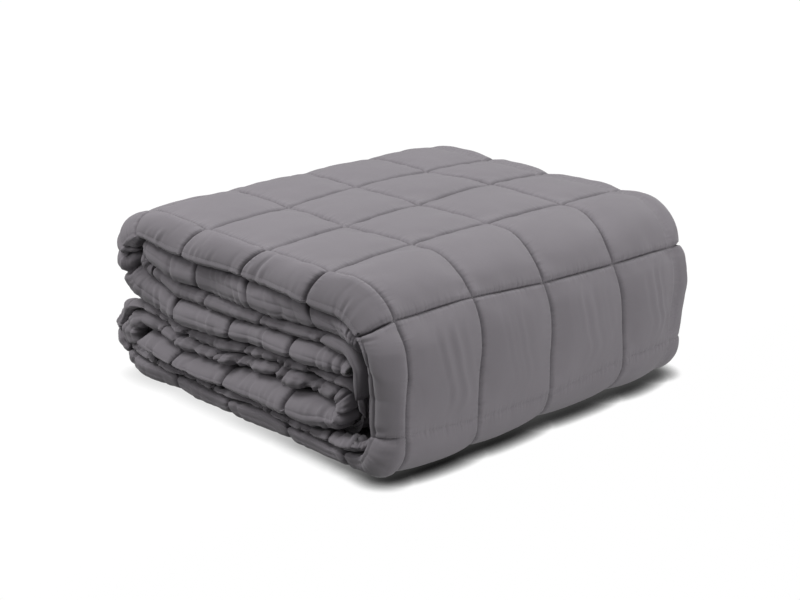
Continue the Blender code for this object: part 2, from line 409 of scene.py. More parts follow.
def length_at(index, face, x):
    """Length over the outside at which a face of a pass has this x."""
    low, high = PASS_SPANS[index]
    start, end = pass_ends(index, face)
    return low + (high - low) * (x - start) / (end - start)


LINING_CREASES = {"upper": (0.90, -0.02, -0.95), "top_lining": (-1.12, -0.20, 0.80),
                  "bottom_lining": (0.95, 0.00, -0.95), "lower": (-1.75, -0.85, 0.10, 1.00),
                  "tucked": (1.27, 0.40, -0.65, -1.50)}


def lining_seams():
    """Seams of the inner sheet by length over the outside, about a cell of its own apart."""
    inside = run_of(*TRACE_POINTS[INSIDE])
    known = [0.0]
    for index, names in enumerate(PASSES):
        known += [length_at(index, INSIDE, x) for x in LINING_CREASES[names[1]]]
    known = sorted(known + [PATH_LENGTH])
    seams = []
    for low, high in zip(known[:-1], known[1:]):
        own = np.interp([low, high], TRACE_LENGTH, inside)
        parts = max(1, round(own[1] - own[0]))
        seams += list(np.interp(np.linspace(*own, parts + 1)[:-1], inside, TRACE_LENGTH))
    return np.array(seams + [PATH_LENGTH])


LINING_SEAMS = lining_seams()
SEAMS = {"outer": LENGTH_SEAMS, "inner": LINING_SEAMS}
print(len(LENGTH_SEAMS), "seams along the outer sheet,", len(LINING_SEAMS), "along the inner")


# %% Rows along a profile
BESIDE = (0.012, 0.03, 0.055, 0.085)


def ticks(seams, low, high, step):
    """Places from low to high, close together beside the seams and evenly between them."""
    close = np.array(BESIDE[:-1])
    places = [low, high]
    for start, end in zip(seams[:-1], seams[1:]):
        if end - start < 3 * BESIDE[-1]:
            places += list(np.linspace(start, end, 5))
            continue
        inner = np.linspace(start + BESIDE[-1], end - BESIDE[-1],
                            max(3, math.ceil((end - start) / step)))
        places += [start, *(start + close), *inner, *(end - close)]
    places = np.unique(np.round(places, 5))
    places = places[(places >= low) & (places <= high)]
    return places[np.concatenate([[True], np.diff(places) > 0.004])]


NOSE_ROWS, HEM_ROWS = 9, np.array([0, 0.3, 0.6, 0.85, 1.0, 1.2, 1.5])
BEAD, BEAD_SHARE = 0.05, 0.28
HEM_SEAM = 1.05
NOSE_END = -2.03


def near_nose(edge, tip, thickness, reach, shape):
    """Rows round the near edge, from the exposed face to the back: y, depth, bead distance."""
    points = []
    for share, start in ((tip, 0.0), (1 - tip, 1.0)):
        angle = np.linspace(0, math.pi / 2, 60)[::-1]
        back = min(reach * share / max(tip, 1 - tip), NOSE_END - edge)
        y = edge + back * (1 - np.sin(angle) ** shape)
        depth = share * thickness * (1 - np.cos(angle) ** shape)
        depth = depth if start == 0 else thickness - depth
        away = run_of(y, depth)
        bead = min(BEAD, BEAD_SHARE * away[-1])
        marks = np.linspace(HEM_ROWS[-1] * bead, away[-1], NOSE_ROWS + 1)
        marks = np.concatenate([HEM_ROWS * bead, marks[1:]])
        points.append([np.interp(marks, away, line) for line in (y, depth)] + [marks / bead])
    return [np.concatenate([front[::-1], back[1:]]) for front, back in zip(*points)]


print("rows round a hem:", len(near_nose(-2.2, 0.5, 0.2, 0.1, 1)[0]))


# %% Sizes of the far fold, and the y of every row
NEAR_SEAM, FAR_SEAM = CROSS_SEAMS[0], CROSS_SEAMS[-1]
FOLD_START = FAR_END - FAR_ROUND
FOLD_ANGLES = np.linspace(0, math.pi, 27)
FOLD_YS = FOLD_START + FAR_ROUND * np.sin(FOLD_ANGLES)
FOLD_SHARES = (1 - np.cos(FOLD_ANGLES)) / 2
HIDDEN_END = 1.90
FACE_YS = {
    "outer": ticks(CROSS_SEAMS, NEAR_SEAM, FOLD_START, 0.036)[::-1],
    "inner": np.concatenate([[HIDDEN_END, 1.2, 0.0, -1.0], np.arange(-1.4, NEAR_SEAM + 0.1, -0.1),
                             NEAR_SEAM + np.array([*BESIDE[::-1], 0.0])]),
}
BACK_YS = NEAR_SEAM + np.array([0.0, 0.012, 0.03, 0.07, 0.15, 0.3, 0.5, 0.8, 1.1, 2.5])
END_ROUND = 0.16
print({sheet: len(ys) for sheet, ys in FACE_YS.items()}, "rows on the exposed faces")

# %% Where the near edges are crumpled
# Lengths along the folds between which they are: low, high, how much
CRUMPLES = {
    "outer": ((length_at(3, OUTSIDE, -1.6), length_at(3, OUTSIDE, 1.0), 0.020),),
    "inner": ((length_at(3, INSIDE, -1.5), length_at(3, INSIDE, 0.9), 0.024),
              (length_at(2, INSIDE, 1.4), length_at(2, INSIDE, 0.7), 0.018),
              (length_at(0, INSIDE, 0.5), length_at(0, INSIDE, -1.9), 0.004)),
}


def window(u, low, high, edge=0.25):
    """1 between two lengths and 0 outside, with soft edges."""
    low, high = min(low, high), max(low, high)
    return (smooth_step(u, low - edge, low + edge)
            * (1 - smooth_step(u, high - edge, high + edge)))


def crumpled(u, sheet):
    return sum(window(u, low, high) * much for low, high, much in CRUMPLES[sheet])


def thickness_at(u, sheet):
    (xa, za), (xb, zb) = (face_at(face, u) for face in SHEETS[sheet])
    return np.hypot(xb - xa, zb - za)


# %% Whole profiles: face, hem, back and far fold, row by row
AWAY = 99.0


def profile(u, sheet):
    """One station's rows as a table: y, share of the way between two faces, length from the
    hem's edge, and bead distance (AWAY off the hem), with the station's seam lengths."""
    thick = float(thickness_at(u, sheet))
    edge, tip, reach, shape = (float(along_passes(u, sheet_column(sheet, column)))
                               for column in (EDGE, TIP, REACH, SHAPE))
    edge += 0.02 * ripple(u, 31 if sheet == "outer" else 32, 1.1)
    edge += crumpled(u, sheet) * (0.9 * ripple(u, 33, 0.42) + 0.35 * ripple(u, 34, 0.17))
    if sheet == "inner":
        edge += 0.10 * window(u, T1_LOW + 0.9, T1_HIGH - 0.3)
        tip = mix(tip, 0.5, window(u, T3_LOW - 0.1, T3_HIGH + 0.2, 0.2))
    else:
        wrapped = window(u, T1_LOW + 0.6, T1_HIGH - 0.1)
        tip, reach = mix(tip, 0.93, wrapped), mix(reach, 0.26, wrapped)
    y, depth, bead = near_nose(edge, tip, thick, reach, shape)
    middle = int(np.argmin(bead))
    travel = run_of(y, depth)
    travel = travel[middle] - travel
    face, back = travel[0] - y[0], -travel[-1] - y[-1]
    front_gap = np.linspace(NEAR_SEAM, y[0], 5)[1:-1]
    back_gap = np.linspace(y[-1], NEAR_SEAM, 4)[1:-1]
    rows = [(r, 0.0, r + face, AWAY) for r in (*FACE_YS[sheet], *front_gap)]
    rows += zip(y, depth / thick, travel, bead)
    rows += [(r, 1.0, -(r + back), AWAY) for r in (*back_gap, *BACK_YS)]
    fold_seam = FAR_SEAM + face + 1.0
    if sheet == "outer":
        (xa, za), (xb, zb) = face_at(OUTSIDE, u), face_at(INSIDE, u)
        reach = run_of(FOLD_YS, FOLD_SHARES * np.hypot(xb - xa, zb - za)) + (FOLD_START + face)
        fold_seam = reach[-1] + FOLD_START - FAR_SEAM
        rows += [(FOLD_START - 0.1, 1.0, -4.0, AWAY), (2.12, 0.5, -4.5, AWAY),
                 (FOLD_START - 0.1, 0.0, -5.0, AWAY), (HIDDEN_END, 0.0, -5.2, AWAY),
                 (HIDDEN_END, 1.0, fold_seam + FAR_SEAM - HIDDEN_END, AWAY),
                 (FAR_SEAM, 1.0, fold_seam, AWAY), (FOLD_START, 1.0, reach[-1], AWAY)]
        rows += [(*row, AWAY) for row in zip(FOLD_YS, FOLD_SHARES, reach)][-2:0:-1]
    seams = [HEM_SEAM * BEAD, *(CROSS_SEAMS + face), fold_seam, fold_seam + 1.0]
    back_seams = [HEM_SEAM * BEAD, NEAR_SEAM + back, NEAR_SEAM + back + 1.0]
    return np.array(rows), np.array(seams), np.array(back_seams)


def row_faces(sheet, count):
    """The two faces that each row of a profile lies between."""
    fold = [(OUTER_BACK, INNER_BACK)] + [(INNER_BACK, INSIDE)] * 3
    fold = fold + [(OUTSIDE, INSIDE)] * len(FOLD_ANGLES) if sheet == "outer" else []
    return [SHEETS[sheet]] * (count - len(fold)) + fold


for sheet in SHEETS:
    print(sheet, "sheet:", len(profile(5.0, sheet)[0]), "rows in a profile")


# %% [markdown]
# ## From profiles to a skin
# The stations are joined into one closed skin for each sheet.  Each point then moves
# along the skin's normal by its fullness: out at the crown of a square where the cloth
# is free, only in where it lies against the next layer.  Where the skin is hidden inside
# the stack, most of the rows are left out, and fans of triangles bridge the change.

# %% Where the outer face is free, and how the cloth thins at its two ends
FREE_MARKS = [T0_LOW, T0_LOW + 0.5, T1_HIGH - 0.6, T1_HIGH - 0.2, T2_LOW + 0.1, T2_LOW + 0.4,
              T2_HIGH - 0.5, T2_HIGH]
FREE_VALUES = [0, 1, 1, 0, 0, 1, 1, 0]


def end_thinning(u):
    """How much of its thickness the cloth keeps near its first and last edge."""
    near = np.minimum(u, PATH_LENGTH - u) / END_ROUND
    return np.sqrt(np.clip(1 - (1 - np.clip(near, 0, 1)) ** 2, 0.015, 1))


# %% Where the seams leave the even grid
# Offsets of the seam crossings on the top and side, in hundredths of a cell: by seam along
# the turns (rows, at lengths DRIFT_LENGTHS) and seam across (columns).
DRIFT_LENGTHS = np.array([4.2, 5.99, 6.95, 7.97, 9.04, 10.16, 11.2])
DRIFT_ALONG = np.array([
    (0, 0, 0, 0, 0), (0, 2, -10, -8, -4), (3, 3, -7, -15, -13), (0, -6, -8, -5, -8),
    (-14, -6, 1, 4, 7), (-2, 6, 6, -3, -3), (0, 0, 0, 0, 0)]) / 100
DRIFT_ACROSS = np.array([
    (0, 0, 0, 0, 0), (-3, 0, 7, 8, 12), (-5, -3, 10, 24, 12), (-5, 4, 13, 20, 20),
    (7, 3, 0, 0, 9), (-3, -8, -5, 4, -3), (0, 0, 0, 0, 0)]) / 100


def drift(table, stations, y):
    """Offset of each row of each station, read off a table of the seam crossings."""
    moved = []
    for u, row in zip(stations, y):
        low, part = place_in(DRIFT_LENGTHS, u)
        moved.append(mix(*(np.interp(row, CROSS_SEAMS, table[seam]) for seam in (low, low + 1)),
                         ease(part)))
    return np.stack(moved)


# How far each seam leans where it runs down over the near edge: (length, lean)
LEANS = {
    "outer": ((0, 0), (0.5, 0.06), (3.4, 0.06), (5.0, 0.17), (7.3, 0.17), (7.97, 0.14),
              (9.04, 0.14), (9.6, 0.12), (10.16, -0.02), (10.9, 0.0), (14.0, -0.04),
              (16.0, 0.08), (23.3, 0.0)),
    "inner": ((0, 0), (0.5, -0.06), (5.1, -0.05), (8.0, -0.05), (10.9, 0.05), (16.0, 0.07),
              (21.0, -0.06), (23.3, 0)),
}
print("seam crossings moved by up to", round(np.abs(DRIFT_ACROSS).max() * CELL * 1000), "mm")

# %% The pair's first edges, inside the stack
# The outer sheet stops short, and the lining curls down past it.
START_X, CURL_X, CURL_SIDE = 0.84, 1.22, 1.43
OUTER_STOPS, LINING_RUNS = 0.18, 1.75


def curl_start(sheet, index, x, z):
    """Section points after the first edges have settled into their places."""
    beyond = np.where(index, np.clip(x - START_X, 0, None), 0)
    if sheet == "outer":
        return x - OUTER_STOPS * beyond, z
    middle = sum(HEIGHTS["upper"]) / 2
    flat, radius, offset = CURL_X - START_X, CURL_SIDE - CURL_X, z - middle
    along = beyond * LINING_RUNS
    angle = np.clip((along - flat) / radius, 0, math.pi / 2)
    down = np.clip(along - flat - radius * math.pi / 2, 0, None)
    curled_x = START_X + np.minimum(along, flat) + (radius + offset) * np.sin(angle)
    curled_z = middle - radius + (radius + offset) * np.cos(angle) - down
    return np.where(beyond > 0, curled_x, x), np.where(beyond > 0, curled_z, z)


# %% Points of a sheet before its quilting
def sheet_points(sheet, stations):
    """Base points in cells (station, row, xyz), with each row's length and bead distance,
    and the lengths of each station's seams on the face and on the back."""
    tables, seams, back_seams = map(np.stack, zip(*(profile(u, sheet) for u in stations)))
    y, share, travel, bead = (tables[..., column] for column in range(4))
    pairs = np.array(row_faces(sheet, tables.shape[1]))
    whole = (pairs[:, 0] == OUTSIDE) & (pairs[:, 1] == INSIDE)
    nose = 1 - smooth_step(np.abs(travel), 0.0, seams[:, 1][:, None])
    u = stations[:, None] - np.interp(stations, *zip(*LEANS[sheet]))[:, None] * nose
    if sheet == "outer":
        weight = np.where((travel < 0) | (pairs[:, 0] == INNER_BACK), 0,
                          (1 - nose) * np.where(whole, 1 - np.abs(share), 1))
        u = u + weight * drift(DRIFT_ALONG, stations, y)
        y = y + weight * drift(DRIFT_ACROSS, stations, y)
    loss = (1 - end_thinning(stations)[:, None]) / 2
    faces = np.array([face_at(face, u) for face in range(4)])
    across = np.hypot(*(faces[OUTSIDE] - faces[INSIDE]))
    start_loss, end_loss = (
        np.where(whole, loss * thickness_at(stations, one)[:, None] / across, loss)
        for one in SHEETS)
    share = start_loss + share * (1 - start_loss - end_loss)
    column = np.arange(tables.shape[1])
    a, b = (faces[pairs[:, side], :, :, column] for side in (0, 1))
    x, z = (a + (b - a) * share.T[:, None]).transpose(1, 2, 0)
    x, z = curl_start(sheet, (stations < 1.0)[:, None] & ~whole, x, z)
    droop = along_passes(stations, sheet_column(sheet, DROOP))[:, None]
    z = settle(x, y, z) - droop * smooth_step(-y, 1.95, 2.28)
    return np.stack([x, y, z], -1), travel, bead, seams, back_seams


def outward(sheet, stations, points):
    """Outward normals of a closed skin given as rings of rows, one ring for each station."""
    normal = np.cross(np.gradient(points, axis=0),
                      np.roll(points, -1, 1) - np.roll(points, 1, 1))
    normal /= np.maximum(np.linalg.norm(normal, axis=-1, keepdims=True), 1e-9)
    front, back = (np.stack(face_at(face, stations), -1) for face in SHEETS[sheet])
    probe = normal[:, len(FACE_YS[sheet]) // 2, ::2]
    return normal * np.sign((probe * (front - back)).sum(-1).mean())


# %% How full each square is
SQUARE_SEEDS = {"outer": 11, "inner": 12}
BACK_NUMBERS = 12


def fullness(sheet, stations, travel, seams, back_seams):
    """How full each point is, its distance to the seams along and across the folds, and the
    number of its square along them."""
    along = SEAMS[sheet]
    which_u, part_u = between(along, stations)
    gap = np.minimum(stations - along[which_u], along[which_u + 1] - stations)[:, None]
    full, cross_gap = np.empty(travel.shape), np.empty(travel.shape)
    for number, reach in enumerate(np.abs(travel)):
        behind = travel[number] < 0
        front, back = between(seams[number], reach), between(back_seams[number], reach)
        cross_gap[number] = np.where(behind, np.abs(reach - back_seams[number][1]),
                                     np.abs(reach[:, None] - seams[number][None, 1:]).min(1))
        full[number] = square_fullness(
            part_u[number], np.where(behind, back[1], front[1]), which_u[number],
            np.where(behind, back[0] + BACK_NUMBERS, front[0]), SQUARE_SEEDS[sheet])
    full = 0.30 * full + 0.70 * np.sqrt(np.clip(full, 0, None))
    return full, gap, cross_gap, which_u


# %% Crowns out, seams in
BULGE, DEPTH = 0.030, 0.038
STITCH_DENT, STITCH_WIDTH = 0.028, 0.018
NOSE_CREASE, NOSE_CREASE_WIDTH = 0.034, 0.020
# How much of its crown each pass keeps at the near edge
ROUNDED = {"outer": [0.8, 0.3, 0.8, 1.0, 1.0], "inner": [1.0, 0.8, 1.0, 1.0, 0.7]}


def sewn_lift(sheet, u, travel, nose, facing, squares, seam):
    """Height of the crowns where the cloth is free, and depth of the seams between them."""
    full, gap, cross_gap, which_u = squares
    free = np.interp(u, FREE_MARKS, FREE_VALUES) * (travel >= 0) * (sheet == "outer")
    free = mix(free, 1, facing)
    puff = np.random.default_rng(61).uniform(0.5, 1.5, STOCK[0])[which_u % STOCK[0]][:, None]
    rounded = along_passes(u, ROUNDED[sheet]) * puff
    lift = BULGE * free * full * mix(1, rounded, nose)
    lift -= DEPTH * seam * (1 - 0.8 * nose) * (1 - np.minimum(full, 1))
    lift -= STITCH_DENT * (seam * np.exp(-(gap / STITCH_WIDTH) ** 2)
                           + np.exp(-(cross_gap / STITCH_WIDTH) ** 2)).clip(0, 1)
    return lift - NOSE_CREASE * seam * nose * np.exp(-gap / NOSE_CREASE_WIDTH)


# %% Creases of the near edge
# Deeper creases, and bumps as negative depths: length, depth, width
NEAR_CREASES = {
    "outer": ((0.17, 0.05, 0.02), (4.02, 0.09, 0.03), (4.27, 0.13, 0.035), (4.46, 0.08, 0.025),
              (7.18, 0.025, 0.02), (15.13, -0.020, 0.08), (15.30, 0.025, 0.02),
              (15.42, -0.020, 0.07)),
    "inner": ((length_at(1, INSIDE, 0.35), 0.03, 0.02), (length_at(1, INSIDE, 0.55), 0.02, 0.02),
              (length_at(1, INSIDE, -0.35), 0.02, 0.02), ((T3_LOW + T3_HIGH) / 2, 0.10, 0.035)),
}
# How wrinkled the near edge of each sheet is, pass by pass
WRINKLED = {"outer": [0.9, 0.35, 0.8, 2.4, 0.9], "inner": [0.8, 1.4, 1.5, 2.6, 0.9]}
CREASE_SEEDS = {"outer": 51, "inner": 52}
CREASES_PER_CELL = 6.5
# Length at which the wrapped side's lowest seam lies, which hardly shows
FAINT_SEAM = LENGTH_SEAMS[10]


def fine_creases(sheet, u, travel):
    """Small slanting creases, no two alike, some from the hem and some from above."""
    rng = np.random.default_rng(CREASE_SEEDS[sheet])
    lift = np.zeros(travel.shape)
    rise = np.abs(travel)
    for _ in range(int(CREASES_PER_CELL * PATH_LENGTH)):
        place, slant = rng.uniform(0, PATH_LENGTH), rng.normal(0, 0.18)
        depth, width = rng.uniform(0.007, 0.030), rng.uniform(0.010, 0.026)
        from_hem, reach = rng.random() < 0.6, rng.uniform(0.08, 0.32)
        near = np.abs(u[:, 0] - place) < 0.22
        beside = np.abs(u[near] - place - slant * (rise[near] - 0.15))
        span = (np.exp(-(rise[near] / reach) ** 2) if from_hem
                else smooth_step(rise[near], 0.04, 0.04 + reach))
        lift[near] -= depth * np.exp(-beside / width) * span
    return lift


def patchy(places, seed, wavelength, patch_seed, patch, base=0.0, swing=1.0):
    """Ripples that come and go in patches."""
    return (ripple(places, seed, wavelength)
            * np.clip(base + swing * ripple(places, patch_seed, patch), 0, 1))


def creased_lift(sheet, u, travel, nose, bead):
    """Wrinkles, creases and crumples of the near edge, and the stitched groove of its hem."""
    wrinkled = along_passes(u, WRINKLED[sheet])
    lift = 0.0035 * wrinkled * ripple(u, 23, 0.45)
    for place, depth, width in NEAR_CREASES[sheet]:
        lift -= depth * np.exp(-np.abs(u - place) / width)
    lift += crumpled(u, sheet) * (patchy(u, 21, 0.15, 22, 0.5) + 0.5 * patchy(u, 24, 0.08, 25, 0.4))
    lift = nose * (lift + fine_creases(sheet, u, travel) * wrinkled)
    puckers = 0.007 * patchy(u, 5, 0.12, 6, 0.6, 0.4, 0.6)
    lift += puckers * np.exp(-((np.abs(travel) - 0.10) / 0.07) ** 2)
    strip = 0.1 + 0.9 * window(u, T1_LOW + 0.9, FAINT_SEAM + 0.04) * (sheet == "outer")
    return lift - 0.022 * strip * np.exp(-((bead - HEM_SEAM) / 0.3) ** 2)


# %% Fullness in places: the left fold, the lower corner, the wrapped side, the small pleats
def placed_lift(sheet, u, travel, nose, y):
    front = travel > 0
    if sheet == "inner":
        pleats = window(u, T1_HIGH - 0.1, T1_HIGH + 0.55, 0.12)
        return pleats * (0.06 + 0.022 * ripple(u, 26, 0.085)) * nose * front
    left = window(u, T0_LOW + 0.6, T0_HIGH - 0.6)
    corner = window(u, T1_HIGH - 0.65, T1_HIGH - 0.2, 0.2)
    wrapped = window(u, T1_LOW + 0.5, T1_HIGH - 0.3, 0.4)
    side = window(u, 9.15, 9.95, 0.2) * (1 - nose)
    across = y + 0.06 * ripple(u, 40, 0.6)
    return front * (0.05 * left + 0.06 * corner * (1 - smooth_step(y, -1.5, 0.5))
                    - 0.05 * wrapped * smooth_step(y, 1.4, 2.1)
                    + 0.0065 * side * patchy(across, 41, 0.11, 42, 0.7, 0.3))


# %% The quilted skin
def quilted(sheet, stations):
    """Points of the quilted skin, and facts of each one: its length along the folds and from
    the hem, and its distance to a seam along and across the folds, all in cells."""
    points, travel, bead, seams, back_seams = sheet_points(sheet, stations)
    near_seam = seams[:, 1][:, None]
    nose = 1 - np.where(travel > 0, smooth_step(travel, 0.6 * near_seam, near_seam),
                        smooth_step(-travel, 0.3, 0.6))
    normal = outward(sheet, stations, points)
    squares = fullness(sheet, stations, travel, seams, back_seams)
    u = stations[:, None]
    faint = np.exp(-((u - FAINT_SEAM) / 0.3) ** 2) * (1 - 0.4 * nose)
    lift = sewn_lift(sheet, u, travel, nose, np.abs(normal[..., 1]), squares, 1 - 0.85 * faint)
    lift += creased_lift(sheet, u, travel, nose, bead)
    lift += placed_lift(sheet, u, travel, nose, points[..., 1])
    lift *= smooth_step(np.minimum(u, PATH_LENGTH - u), 0.0, 0.2)
    points = points + normal * lift[..., None]
    points[..., 2] = np.maximum(points[..., 2], 0)
    # Near the faint seam the distances to the seams are widened, so its puckers and the painted
    # shade along it fade.
    facts = np.broadcast_arrays(u, travel, squares[1] + 0.012 * faint, squares[2])
    return points, np.stack(facts, -1)


# %% Join the stations into one closed mesh
def bridge(first, second, ring, offset_a, offset_b):
    """Faces between two stations that keep different rows; rows are numbers in the ring."""
    (corners_a, rows_a), (corners_b, rows_b) = (
        ([offset + corner for corner in (*range(len(rows)), 0)], [*rows, rows[0] + ring, math.inf])
        for rows, offset in ((first, offset_a), (second, offset_b)))
    faces, a, b = [], 0, 0
    while a < len(first) or b < len(second):
        on_a, on_b = rows_a[a + 1] <= rows_b[b + 1], rows_b[b + 1] <= rows_a[a + 1]
        faces.append([corners_a[a], corners_b[b]] + [corners_b[b + 1]] * on_b
                     + [corners_a[a + 1]] * on_a)
        a, b = a + on_a, b + on_b
    return faces


def close_end(ring, offset):
    """Triangles that close a thin hairpin ring, by walking up both of its sides from the hem."""
    order = (np.arange(len(ring) + 1) + np.argmin(ring[:, 1])) % len(ring)
    place, a, b, faces = ring[order], 0, len(ring), []
    while b - a > 1:
        up = bool(math.dist(place[a + 1], place[b]) <= math.dist(place[b - 1], place[a]))
        faces.append([offset + int(order[v]) for v in (a, a + 1 if up else b - 1, b)])
        a, b = a + up, b - (not up)
    return [face for face in faces if len(set(face)) == 3]


def skin_object(name, skin, span, kept_rows):
    """One closed piece of a sheet between two lengths along the folds, both at seams or ends."""
    stations, points, known = skin
    ring = points.shape[1]
    numbers = np.nonzero((stations > span[0] - 1e-4) & (stations < span[1] + 1e-4))[0]
    corners, faces, facts, starts = [], [], [], []
    for number in numbers:
        rows = kept_rows(stations[number], ring)
        starts.append((len(corners), rows))
        corners += points[number, rows].tolist()
        facts.append(known[number, rows])
        if len(starts) > 1:
            faces += bridge(starts[-2][1], rows, ring, starts[-2][0], starts[-1][0])
    walls = len(faces)
    for offset, rows in (starts[0], starts[-1]):
        faces += close_end(np.array(corners[offset:offset + len(rows)]), offset)
    places = (np.array(corners) + (SHIFT_X, 0, 0)) * CELL
    mesh = bpy.data.meshes.new(name)
    mesh.from_pydata(places.tolist(), [], faces)
    facts = np.concatenate(facts) * CELL
    corner_of = np.empty(len(mesh.loops), int)
    mesh.loops.foreach_get("vertex_index", corner_of)
    mesh.uv_layers.new(name="cloth").data.foreach_set("uv", facts[corner_of, :2].ravel())
    for number, title in ((2, "along_gap"), (3, "across_gap")):
        mesh.attributes.new(title, "FLOAT", "POINT").data.foreach_set("value", facts[:, number])
    shell = bmesh.new()
    shell.from_mesh(mesh)
    shell.faces.ensure_lookup_table()
    for face in shell.faces[walls:]:
        face.tag = True
    for edge in shell.edges:
        edge.smooth = len({face.tag for face in edge.link_faces}) == 1
    for face in shell.faces:
        face.smooth = True
    bmesh.ops.recalc_face_normals(shell, faces=shell.faces)
    open_edges = sum(len(edge.link_faces) != 2 for edge in shell.edges)
    shell.to_mesh(mesh)
    shell.free()
    triangles = sum(len(face) - 2 for face in faces)
    print(name, len(numbers), "stations,", triangles, "triangles,", open_edges, "open edges, box",
          [round(float(v), 4) for v in (*places.min(0), *places.max(0))])
    return into_scene(name, mesh)


# %% Five closed pieces, parted where a seam already makes a crease
HIDDEN_STEP, NEAR_ROWS = 12, 8


def outer_rows(u, ring):
    """All rows where the outer face shows, and only the ends of it inside or under the stack."""
    rows = np.arange(ring)
    if T0_LOW - 0.2 < u < T1_HIGH + 0.05 or T2_LOW - 0.05 < u < T2_HIGH + 0.2:
        return rows.tolist()
    far_rows = (rows > 1) & (rows < len(FACE_YS["outer"]) - NEAR_ROWS)
    return rows[~far_rows | (rows % HIDDEN_STEP == 0)].tolist()


def all_rows(u, ring):
    return list(range(ring))


END_STEPS = END_ROUND * (1 - np.cos(np.linspace(0, math.pi / 2, 10)))


def skin_of(sheet, step):
    """Stations along a sheet, closer beside its seams and ends, with all that quilted gives."""
    middle = ticks(SEAMS[sheet], 0.0, PATH_LENGTH, step)
    clear = END_ROUND + 0.01
    middle = middle[(middle > clear) & (middle < PATH_LENGTH - clear)]
    stations = np.concatenate([END_STEPS, middle, PATH_LENGTH - END_STEPS[::-1]])
    return stations, *quilted(sheet, stations)


OUTER_SKIN, INNER_SKIN = skin_of("outer", 0.028), skin_of("inner", 0.030)
OUTER_PARTS = {"blanket_start": (0.0, 2.99), "blanket_wrap": (2.99, 11.11),
               "blanket_base": (11.11, 15.91), "blanket_tuck": (15.91, PATH_LENGTH)}
pieces = [skin_object(name, OUTER_SKIN, span, outer_rows) for name, span in OUTER_PARTS.items()]
pieces.append(skin_object("blanket_lining", INNER_SKIN, (0.0, PATH_LENGTH), all_rows))

# %% [markdown]
# ## Cloth
# The cover is a brushed microfibre: dull, soft to the touch, with a faint bloom where it
# turns away from the light.  The colour is one grey with a slight uneven cast, darkened
# by painted shade in a thin line along each seam groove.

# %% A small writer for shader maths
class Wire:
    """One socket of a material's nodes, with Python's operators for its maths."""

    def __init__(self, tree, socket):
        self.tree, self.socket = tree, socket

    def node(self, kind, settings=None, output=0, **values):
        made = self.tree.nodes.new(kind)
        for key, value in (settings or {}).items():
            setattr(made, key, value)
        for key, value in values.items():
            key = int(key[1:]) if key[0] == "_" else key.replace("_", " ")
            if isinstance(value, Wire):
                self.tree.links.new(value.socket, made.inputs[key])
            else:
                made.inputs[key].default_value = value
        return Wire(self.tree, made.outputs[output])

    def maths(self, operation, other, reflected=False):
        first, second = (other, self) if reflected else (self, other)
        return self.node("ShaderNodeMath", {"operation": operation}, _0=first, _1=second)

    def within(self, low, high):
        return self.maths("MAXIMUM", low).maths("MINIMUM", high)

    def feed(self, node, title):
        self.tree.links.new(self.socket, node.inputs[title])

    def __add__(self, other):
        return self.maths("ADD", other)

    def __sub__(self, other):
        return self.maths("SUBTRACT", other)

    def __rsub__(self, other):
        return self.maths("SUBTRACT", other, reflected=True)

    def __mul__(self, other):
        return self.maths("MULTIPLY", other)

    __radd__ = __add__
    __rmul__ = __mul__


def new_finish(name, **plain):
    """A material, its shader with the plain sockets set, and a Wire to start its maths from."""
    material = bpy.data.materials.new(name)
    material.use_nodes = True
    surface = next(n for n in material.node_tree.nodes if n.type == "BSDF_PRINCIPLED")
    for title, value in plain.items():
        surface.inputs[title.replace("_", " ")].default_value = value
    return material, surface, Wire(material.node_tree, None)


# %% Brushed grey microfibre
CLOTH_GREY, CLOTH_ROUGHNESS = (0.158, 0.1465, 0.1605), 0.85
# Reach of the pucker bumps, and how far the painted shade along each seam spreads to either side,
# in metres.
PUCKER_REACH, SEAM_SHADE_WIDTH = 0.016, 0.0016


